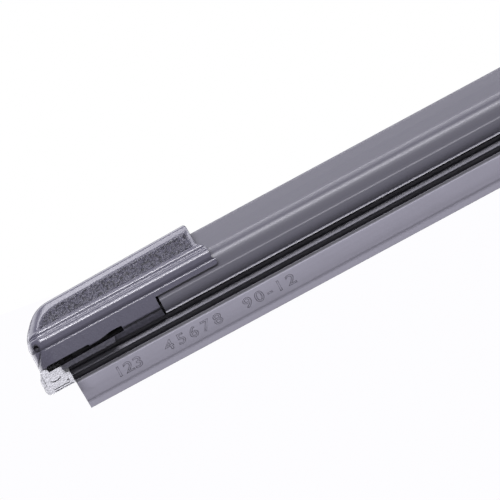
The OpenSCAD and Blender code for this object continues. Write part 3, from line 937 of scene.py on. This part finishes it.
@dataclass
class EndCap(Moulding):
    """The end cap, lofted along x and cut where the real one is open."""

    half_mm: float = 6.6
    corner_mm: float = 4.5
    crest_y_mm: float = 2.6
    top_mm: float = 12.45
    top_len_mm: float = 41.0
    tongue_len_mm: float = 43.4
    wall_len_mm: float = 28.6
    strip_z_mm: float = -2.0
    rear_extra_mm: float = 2.4
    nest_mm: float = 5.6
    channel_end_mm: float = 33.0
    core_start_mm: float = 6.6
    foot_z_mm: float = 7.6
    rim_mm: float = 1.55
    nose_rim_mm: float = 0.75
    panel_mm: float = 0.3
    grain_mm: float = 0.22
    blend_mm: float = 1.2
    nose_blend_mm: float = 1.4
    groove_mm: float = 0.15
    recess: Triple = (1.8, -5.5, 4.55)
    recess_radii: Triple = (0.7, 0.8, 0.62)
    nose: Sequence[Point] = (
        (0.0, 4.6), (0.08, 5.3), (0.26, 5.95), (0.58, 6.72), (1.0, 7.45), (1.5, 8.12),
        (2.1, 8.78), (2.9, 9.65), (3.9, 10.5), (4.9, 11.12), (6.0, 11.52), (7.0, 11.75),
        (8.1, 11.85),
    )

    def section(self) -> list[Point]:
        """Closed outer section from the front claw over the crest to the rear claw, as y and z."""
        top, low = self.top_mm, self.strip_z_mm
        corners = [
            (-2.0, low, 0), (-5.3, low, 0.25), (-5.58, -1.4, 0.4), (-5.78, -0.9, 0.4),
            (-5.8, -0.16, 0.05), (-6.5, -0.14, 0.06), (-6.62, 0.04, 0.12), (-6.6, 1.2, 0.6),
            (-6.52, 2.3, 0.5), (-6.44, 3.3, 0.2), (-6.38, 3.5, 0.12), (-6.29, 3.62, 0.1),
            (-6.5, 3.93, 0.15), (-6.64, 4.3, 0.3), (-6.62, 4.8, 0.25), (-6.54, 5.3, 0.15),
            (-6.44, 5.6, 0.15), (-6.3, 5.95, 0.1), (-6.05, 6.22, 0.15), (-5.6, 6.34, 0.15),
            (-5.0, 6.36, 0.03), (-4.91, 6.63, 0.06), (-4.78, 6.72, 0.06), (-4.46, 6.74, 0.05),
            (-4.46, 7.02, 0.04), (-4.36, 7.32, 0.08), (-4.2, 7.44, 0.08), (-3.4, 7.46, 0.1),
            (-3.1, 7.66, 0.2), (-1.5, 9.3, 1.0), (0.05, 10.85, 0.4), (1.4, 12.2, 0.35),
            (2.4, top, 0.5), (3.7, top, 0.5), (4.5, top - 0.6, 0.5), (4.58, 9.47, 1.0),
            (4.91, 7.1, 1.0), (5.48, 4.84, 1.0), (6.3, 2.6, 0.6), (6.6, 1.2, 0.6), (6.6, 0.0, 0.5),
            (6.16, -0.9, 0.4), (5.8, -1.42, 0.4), (5.25, low, 0.35), (2.0, low, 0), (-2.0, low, 0),
        ]
        return spaced(filleted(corners), self.grain_mm)

    @property
    def crest(self) -> list[Point]:
        """The side outline's upper line: the nose's curve, then the rising crest."""
        return [*self.nose, (self.top_len_mm, self.top_mm)]

    def rim_distance(self, x: float, z: float) -> float:
        """How far a point of the flank lies from the side outline.

        Args:
            x: The point's distance from the outboard end.
            z: Its height.

        Returns:
            The distance to the outline above it, ahead of it or behind it.
        """
        crest = self.crest
        best = self.top_len_mm - x + self.rim_mm * 0.5
        for (x0, z0), (x1, z1) in zip(crest, crest[1:]):
            run = Vector((x1 - x0, z1 - z0))
            t = min(1.0, max(0.0, (Vector((x - x0, z - z0)).dot(run)) / run.length_squared))
            best = min(best, math.hypot(x - x0 - run.x * t, z - z0 - run.y * t))
        return best

    def panel(self, x: float, y: float, z: float) -> float:
        """How far a point lies in the recessed panel of the front flank.

        Args:
            x: The point's distance from the outboard end.
            y: Its distance across.
            z: Its height.

        Returns:
            From 0 outside it to 1 on its floor.
        """
        if y > self.crest_y_mm - 0.4 or z < self.foot_z_mm:
            return 0.0
        rim = self.rim_mm + self.nose_rim_mm * smooth_step(10.0, 3.0, x)
        inside = smooth_step(rim * 0.8, rim * 1.1, self.rim_distance(x, z))
        return inside * smooth_step(self.foot_z_mm, self.foot_z_mm + 0.3, z)

    def groove(self, x: float, y: float, z: float) -> float:
        """How deep a point lies in the slanted groove at the foot of the nose.

        Args:
            x: The point's distance from the outboard end.
            y: Its distance across.
            z: Its height.

        Returns:
            From 0 outside it to 1 on its floor.
        """
        if y > 0 or x > 3.0 or not 0.3 < z < 3.7:
            return 0.0
        ahead = abs((2.2 - x) * 0.82 + (z - 3.55) * 0.57)
        return smooth_step(0.22, 0.05, ahead) * smooth_step(3.7, 3.4, z) * smooth_step(0.3, 0.9, z)

    def shaped(self, x: float, y: float, z: float) -> Vector:
        """Shapes the section to a station's place in the nose and under the crest.

        Args:
            x: The station.
            y: The section's point, across.
            z: The section's point, up.

        Returns:
            The point's place on the cap.
        """
        corner, middle = self.corner_mm, self.half_mm - self.corner_mm
        shift = corner - math.sqrt(max(0.0, corner**2 - max(0.0, corner - x) ** 2))
        y_new = min(y + shift, max(y, middle)) if y < middle else max(y - shift, middle)
        roof, high = (level(self.crest, at) for at in (x, max(x, self.nose[-1][0])))
        foot = self.foot_z_mm
        if z > foot:
            z = foot + (z - foot) * (high - foot) / (self.top_mm - foot)
        blend = self.blend_mm + self.nose_blend_mm * smooth_step(10.0, 4.0, x)
        spare = min(1.0, max(0.0, (high - roof) / blend))
        z_new = soft_min(z, roof + blend * (1.0 - math.sqrt(spare)) ** 2, blend)
        recess = self.panel(x, y_new, z_new) * self.panel_mm
        y_new += self.groove_mm * self.groove(x, y, z_new)
        return Vector((x, y_new + recess * 0.77, z_new - recess * 0.64))

    def grain(self, point: Vector) -> float:
        """How strongly the surface is pebbled at a point.

        Args:
            point: The point, in tip coordinates.

        Returns:
            From 0 for smooth to 1 for the panel's grain.
        """
        x, y, z = point
        lower = smooth_step(3.4, 2.2, z) * 0.07
        rear = smooth_step(3.2, 4.2, y) * smooth_step(3.0, 4.0, z) * 0.8
        return max(self.panel(x, y, z), lower, rear)

    def shade(self, point: Vector) -> float:
        """Dullness and painted shade: inside, in the recess and groove, and a darker set-back band
        below.

        Args:
            point: The point, in tip coordinates.

        Returns:
            From 0 for the open surface to 1 for the inside.
        """
        x, y, z = point
        # Painted shade: the inside seen through the windows and slot, the recess and the groove are
        # marked dark.
        inside = 1.0 if z < 2.2 and abs(y) < (3.3 if x < 4.6 else 5.35) and x > 1.5 else 0.0
        recess = 1.0 if (point - Vector(self.recess)).length < 0.95 else 0.0
        # The set-back band below is marked darker and duller.
        band = 0.75 * smooth_step(-0.1, -0.3, z) * smooth_step(4.0, 4.6, x)
        return max(inside, recess, self.groove(x, y, z), band)

    def stations(self) -> list[float]:
        """Stations along the cap, close together round the nose."""
        nose = [self.corner_mm * (1 - math.cos(math.radians(a))) for a in range(0, 91, 3)]
        length = self.tongue_len_mm + 1.0 - self.corner_mm
        count = math.ceil(length / (self.grain_mm * 1.5))
        return nose + [self.corner_mm + length * k / count for k in range(1, count + 1)]

    def loft(self) -> Piece:
        """The closed outer form: the section swept along x, round the nose and under the crest."""
        section = self.section()
        rows = [[self.shaped(x, *point) for point in section] for x in self.stations()]
        return skin("cap", rows, 0.003)

    def side_outline(self, wall_len: float) -> list[Point]:
        """Side outline that the loft is trimmed to: the open nose and the stepped inboard end.

        Args:
            wall_len: Where the lower wall ends.

        Returns:
            The outline, as x and z.
        """
        top, end, low = self.top_mm, self.tongue_len_mm, self.strip_z_mm - 0.5
        return filleted([
            (-1.0, 14.0, 0), (-1.0, -0.1, 0), (4.5, -0.1, 0), (4.5, low, 0), (wall_len, low, 0),
            (wall_len - 0.1, 0.9, 0.3), (wall_len, 2.3, 0.1), (end, 2.3, 0.8), (end, 3.62, 0.3),
            (end - 0.6, 3.85, 0.3), (end - 0.55, 6.3, 0.5), (end - 1.0, 7.0, 0.5),
            (41.9, 7.36, 0.4), (self.top_len_mm + 0.05, 7.9, 0.5),
            (self.top_len_mm, top + 0.05, 0.9), (39.0, top + 0.1, 0.4), (38.0, 14.0, 0),
        ])

    def windows(self) -> list[Point]:
        """Outline of the latch window in each wall, as x and z."""
        return filleted([
            (1.6, -3.0, 0), (1.6, -1.05, 0.3), (1.75, 0.25, 0.9), (11.7, 0.25, 0.15),
            (11.85, -0.22, 0.1), (13.5, -0.14, 0.5), (17.0, 0.46, 0.5), (19.6, 0.46, 0.25),
            (19.6, -0.78, 0.25), (12.2, -0.9, 0.5), (4.5, -1.08, 0), (4.5, -3.0, 0),
        ])

    def sill(self, way: int) -> Piece:
        """The sill that closes a latch window from below, on the side that way gives."""
        outline = [(4.5, -2.0), (16.9, -2.0), (17.5, -0.6), (4.5, -0.6)]
        return prism(outline, "y", way * 5.22, way * 6.2)

    def model(self) -> Piece:
        """Models the cap."""
        cap = self.loft()
        for way in (-1, 1):
            join_to(cap, self.sill(way))
        keep = prism(self.side_outline(self.wall_len_mm), "y", -8.0, 0.01)
        rear_len = self.wall_len_mm + self.rear_extra_mm
        join_to(keep, prism(self.side_outline(rear_len), "y", 0.0, 8.0))
        cut(cap, keep, keep=True)
        spoiler = grown([(y, z) for y, z, _ in SPOILER_OUTLINE], 0.2)
        room = [(y, z if z > -1.9 else -2.7) for y, z in spoiler]
        core = [
            (-4.7, 1.9), (-4.6, 3.2), (-1.4, 7.6), (2.2, 9.55), (3.4, 9.55), (4.2, 3.2), (4.7, 1.9),
        ]
        socket = [(1.6, -4.0), (6.8, -4.0), (6.8, -0.25), (1.6, -0.25)]
        for cutter in (
            (room, "x", self.wall_len_mm - 0.01, 45.0),
            (mirrored(CHANNEL), "x", self.nest_mm, self.channel_end_mm),
            (core, "x", self.core_start_mm, self.wall_len_mm + 0.05),
            (socket, "y", -2.5, 2.5),
            (self.windows(), "y", -7.6, -3.2),
            (self.windows(), "y", 3.2, 7.6),
        ):
            cut(cap, prism(*cutter))
        cut(cap, ball(self.recess, self.recess_radii))
        clean(cap, 0.001)
        weigh(cap, "pebble", self.grain)
        weigh(cap, "sunk", self.shade)
        shade_smooth(cap)
        return cap


@dataclass
class EndStop(Moulding):
    """The light moulded stop under a cap's nose, with its sunk lines."""

    half_mm: float = 4.7
    tenon_mm: float = 2.4
    line_mm: float = 0.22
    round_mm: float = 0.1

    def outline(self) -> list[Point]:
        """Side outline with rounded corners, as x and z."""
        return filleted([
            (1.0, -0.15, 0), (0.05, -0.15, 0.1), (-0.35, -1.3, 0.4), (-0.9, -1.9, 0.5),
            (-0.9, -4.8, 0.6), (-0.3, -5.5, 0.5), (5.6, -5.5, 0.15), (5.6, -2.03, 0),
            (4.48, -2.03, 0), (4.48, -1.1, 0), (1.65, -1.12, 0.1), (1.55, -0.15, 0),
            (1.0, -0.15, 0),
        ])[:-1]

    def plan(self) -> list[Point]:
        """Plan outline with rounded outboard corners, as x and y."""
        half = self.half_mm
        return filleted([
            (6.0, -half, 0), (-0.9, -half, 1.8), (-0.9, half, 1.8), (6.0, half, 0),
        ], 8)

    def lines(self) -> Iterable[list[Point]]:
        """Outlines of what is sunk into its front and rear faces, as x and z."""
        yield [(0.9, -4.74), (4.6, -4.74), (4.6, -4.94), (0.9, -4.94)]
        yield [(0.9, -5.2), (5.3, -5.2), (5.3, -5.37), (0.9, -5.37)]
        smile = [math.radians(a) for a in range(205, 336, 10)]
        outer = [(2.2 + 1.35 * math.cos(a), -2.75 + 0.75 * math.sin(a)) for a in smile]
        inner = [(2.2 + 1.22 * math.cos(a), -2.57 + 0.68 * math.sin(a)) for a in reversed(smile)]
        yield outer + inner
        yield [(4.15, -4.25), (4.75, -4.6), (4.75, -3.95)]
        yield [(-0.2, -1.9), (0.1, -2.5), (0.05, -3.0), (-0.1, -2.95), (-0.02, -2.5), (-0.3, -1.95)]

    def model(self) -> Piece:
        """Models the stop."""
        stop = prism(self.outline(), "y", -self.half_mm, self.half_mm)
        cut(stop, prism(self.plan(), "z", -7.0, 0.0), keep=True)
        tenon = [(1.65, -1.3), (4.48, -1.3), (4.48, -0.27), (1.65, -0.27)]
        join_to(stop, prism(tenon, "y", -self.tenon_mm, self.tenon_mm))
        bevel(stop, self.round_mm, 50.0)
        floor = self.half_mm - self.line_mm
        for outline in self.lines():
            for low, high in ((-6.0, -floor), (floor, 6.0)):
                cut(stop, prism(outline, "y", low, high))
        clean(stop, 0.001)
        weigh(stop, "pebble", lambda point: 0.3)
        weigh(stop, "sunk", self.sunk)
        shade_smooth(stop)
        return stop

    def sunk(self, point: Vector) -> float:
        """Marks where shade is painted: the floors of the sunk lines and the tenon.

        Args:
            point: The point, in tip coordinates.

        Returns:
            1 for a point on them, and 0 elsewhere.
        """
        x, y, z = point
        # Painted shade on the tenon, seen through the cap's window, and on the floors of the sunk
        # lines.
        if abs(y) < self.tenon_mm + 0.05 and x > 1.6:
            return 1.0
        deep = self.half_mm - 0.3 < abs(y) < self.half_mm - 0.15
        return 1.0 if deep and -0.4 < x < 5.4 and -5.4 < z < -1.8 else 0.0


@dataclass
class Figures:
    """Plain figures stamped into the rubber's wedge, as outlines of their strokes."""

    text: str
    start_mm: float
    width_mm: float
    spread: float = 1.0
    height_mm: float = 2.4
    stroke_mm: float = 0.06
    foot_mm: float = -9.2
    flatten: float = 0.6

    def wedge(self, z: float) -> float:
        """Half width of the rubber's wedge at height z."""
        return level([(z, y) for y, z, _ in RUBBER_HALF[-5:-9:-1]], z)

    def build(self) -> Piece:
        """Makes the figures in tip coordinates on the wedge's long face, in millimetres."""
        bpy.ops.object.text_add()
        figures = bpy.context.object
        figures.data.body = self.text
        figures.data.fill_mode = "NONE"
        figures.data.space_character = self.spread
        figures.data.resolution_u = 6
        figures.data.bevel_depth = self.stroke_mm / self.height_mm
        figures.data.bevel_resolution = 1
        bpy.ops.object.convert(target="MESH")
        figures = bpy.context.object
        places = [vertex.co[:] for vertex in figures.data.vertices]
        low, high = (Vector(map(pick, zip(*places))) for pick in (min, max))
        for vertex in figures.data.vertices:
            along = (vertex.co.x - low.x) / (high.x - low.x) * self.width_mm
            z = self.foot_mm + (vertex.co.y - low.y) / (high.y - low.y) * self.height_mm
            out = vertex.co.z * self.height_mm * self.flatten
            vertex.co = Vector((self.start_mm + along, -self.wedge(z) - out, z))
        weigh(figures, "stamped", lambda point: 1.0)
        return figures


@dataclass
class RubberStrip(Extrusion):
    """The rubber: its sweep, with figures stamped near one end."""

    figures: Sequence[Figures] = (
        Figures("123", 14.2, 5.6),
        Figures("45678", 25.2, 13.6, 1.4),
        Figures("90-12", 43.9, 12.2, 1.3),
    )

    def detail(self, piece: Piece) -> None:
        """Stamps the figures."""
        weigh(piece, "stamped", lambda point: 0.0)
        for text in self.figures:
            stamped = text.build()
            seat(stamped, LINE.tip_matrix(Side.LEFT))
            join_to(piece, stamped, weld=False)


@dataclass
class Dressed:
    """A CAD node that keeps its shape and gets a smooth skin and a finish."""

    node: str
    body: str
    finish: Finish
    degrees: float = 32.0
    pebble: float = 0.35
    round_mm: float = 0.0

    def build(self, frame: dict) -> Piece:
        """Replaces the node by a clean, smooth-shaded copy.


        Returns:
            The new piece.
        """
        mesh = frame["nodes"][self.node].data.copy()
        piece = linked(f"{self.node}_skin", mesh)
        mesh.materials.clear()
        clean(piece)
        shade_smooth(piece, self.degrees)
        if self.round_mm:
            round_edges(piece, self.round_mm * MM)
            shade_smooth(piece, self.degrees)
        weigh(piece, "pebble", lambda point: self.pebble)
        put_finish(piece, self.finish)
        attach(piece, self.body)
        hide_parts(self.node)
        return piece


@dataclass
class Studio:
    """Camera, lights, floor and background."""

    picture_mm: float = 104.2
    centre_x_mm: float = 50.5
    centre_z_mm: float = 1.35
    roll_deg: float = 28.3
    tilt_deg: float = 2.0
    distance: float = 1.5
    sensor_mm: float = 36.0
    floor_gap: float = 0.07
    room: Sequence[Point] = ((0.35, 0.25), (0.66, 0.36), (0.8, 0.9), (0.93, 0.15))
    lamps: Sequence[tuple[str, Triple, Point, float]] = (
        ("overhead", (0.0, 0.06, 0.99), (0.9, 0.2), 6.0),
        ("front_strip", (-0.25, -0.81, 0.56), (1.1, 0.1), 13.5),
        ("back", (-0.3, 0.8, 0.6), (1.2, 0.6), 4.0),
        ("left", (-0.8, 0.75, 0.0), (1.0, 0.6), 6.0),
        ("fill", (0.3, -1.3, -0.02), (1.2, 0.3), 0.8),
    )

    def target(self) -> Vector:
        """Point of the blade at the picture's centre."""
        return LINE.tip_matrix(Side.LEFT) @ Vector((self.centre_x_mm, 0, self.centre_z_mm))

    def camera(self) -> None:
        """Aims a long lens square at the blade's left end and rolls it as the picture is."""
        data = bpy.data.cameras.new("camera")
        data.sensor_width = self.sensor_mm
        data.lens = self.sensor_mm * self.distance / (self.picture_mm * MM)
        data.clip_start, data.clip_end = 0.05, 20.0
        camera = linked("camera", data)
        tilt = math.radians(self.tilt_deg)
        back = Vector((0.0, -math.cos(tilt), math.sin(tilt)))
        roll = Matrix.Rotation(-math.radians(self.roll_deg) + LINE.tip_turn, 4, "Z")
        camera.matrix_world = self.aimed(back * self.distance) @ roll
        bpy.context.scene.camera = camera

    def aimed(self, offset: Vector) -> Matrix:
        """The place at an offset from the picture's centre, turned to face it."""
        turn = offset.to_track_quat("Z", "Y").to_matrix().to_4x4()
        return Matrix.Translation(self.target() + offset) @ turn

    def light(self) -> None:
        """Adds the area lamps: name, offset, length along the blade and height, and watts."""
        for name, offset, size, power in self.lamps:
            data = bpy.data.lights.new(name, "AREA")
            data.shape = "RECTANGLE"
            data.size, data.size_y, data.energy = *size, power
            data.color = (0.95, 0.94, 1.0)
            linked(name, data).matrix_world = self.aimed(Vector(offset))

    def world(self) -> None:
        """White to the camera. The blade mirrors a room, dim in front and bright further back."""
        world = bpy.data.worlds.new("room")
        world.use_nodes = True
        nodes = Nodes(world.node_tree)
        facing = nodes.node("TexCoord", {}, {}, "Generated")
        back = nodes.node("SeparateXYZ", {}, {0: facing}, "Y")
        share = nodes.node("MapRange", {}, {"Value": back, "From Min": -1.0})
        ramp = nodes.node("ValToRGB", {}, {0: share})
        elements = ramp.output.node.color_ramp.elements
        while len(elements) < len(self.room):
            elements.new(0.5)
        for element, (position, grey) in zip(elements, self.room):
            element.position = position
            element.color = (grey * 0.97, grey * 0.97, grey, 1.0)
        background = nodes.tree.nodes["Background"]
        nodes.feed(background.inputs["Color"], nodes.mix(nodes.seen(), ramp, (1.0, 1.0, 1.0)))
        bpy.context.scene.world = world

    def floor(self) -> None:
        """A white floor that the blade's tips clear over their whole swing, with a painted shadow
        near the blade.
        """
        low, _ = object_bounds()
        bpy.ops.object.select_all(action="DESELECT")
        bpy.ops.mesh.primitive_plane_add(size=6.0, location=(0, 0, low.z - self.floor_gap))
        floor = bpy.context.object
        floor.name = "floor"
        shader = Shader("floor_paint")
        seen = shader.seen()
        # Painted shadow: the floor's glow for the camera is dimmed by ambient occlusion near the
        # blade.
        clear = shader.node("AmbientOcclusion", {"samples": 16}, {"Distance": 0.12}, "AO")
        shader.set("Base Color", shader.mix(seen, (0.12, 0.12, 0.12), (0.0, 0.0, 0.0)))
        shader.set("Roughness", 0.9)
        shader.set("Specular IOR Level", 0.0)
        shader.set("Emission Color", (0.985, 0.98, 1.0))
        shader.set("Emission Strength", seen * (clear * 0.3 + 0.7))
        floor.visible_glossy = False
        floor.data.materials.append(shader.material)
        floor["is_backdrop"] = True

    def build(self) -> None:
        """Sets up the whole studio."""
        self.camera()
        self.world()
        self.floor()
        self.light()
        bpy.context.scene.view_settings.view_transform = "Standard"


def main() -> None:
    """Builds the dressed blade round the frame, piece by piece."""
    logging.basicConfig(level=logging.INFO, format="%(name)s: %(message)s")
    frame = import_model()
    Studio().build()
    for moulding in (EndCap("end_cap", CAP), EndStop("end_stop", STOP)):
        log.info("built %s", moulding.build().name)
    spoiler = spoiler_section()
    for side in Side:
        log.info("built %s", Extrusion(f"spoiler_{side.word}", SPOILER, spoiler).build(frame).name)
    rubber = RubberStrip("rubber_element", RUBBER, rubber_section(), slant=0.03)
    log.info("built %s", rubber.build(frame).name)
    dressed = [
        Dressed("rail_front", "blade", RAIL),
        Dressed("rail_rear", "blade", RAIL),
        Dressed("bridge_bracket", "blade", BRACKET, round_mm=0.15),
        Dressed("connector_housing", "blade", HOUSING, round_mm=0.6),
        Dressed("pivot_pin", "blade", PIN),
        Dressed("hook_adapter", "adapter", ADAPTER, round_mm=0.25),
    ]
    for piece in dressed:
        log.info("dressed %s", piece.build(frame).name)


if __name__ == "__main__":
    main()
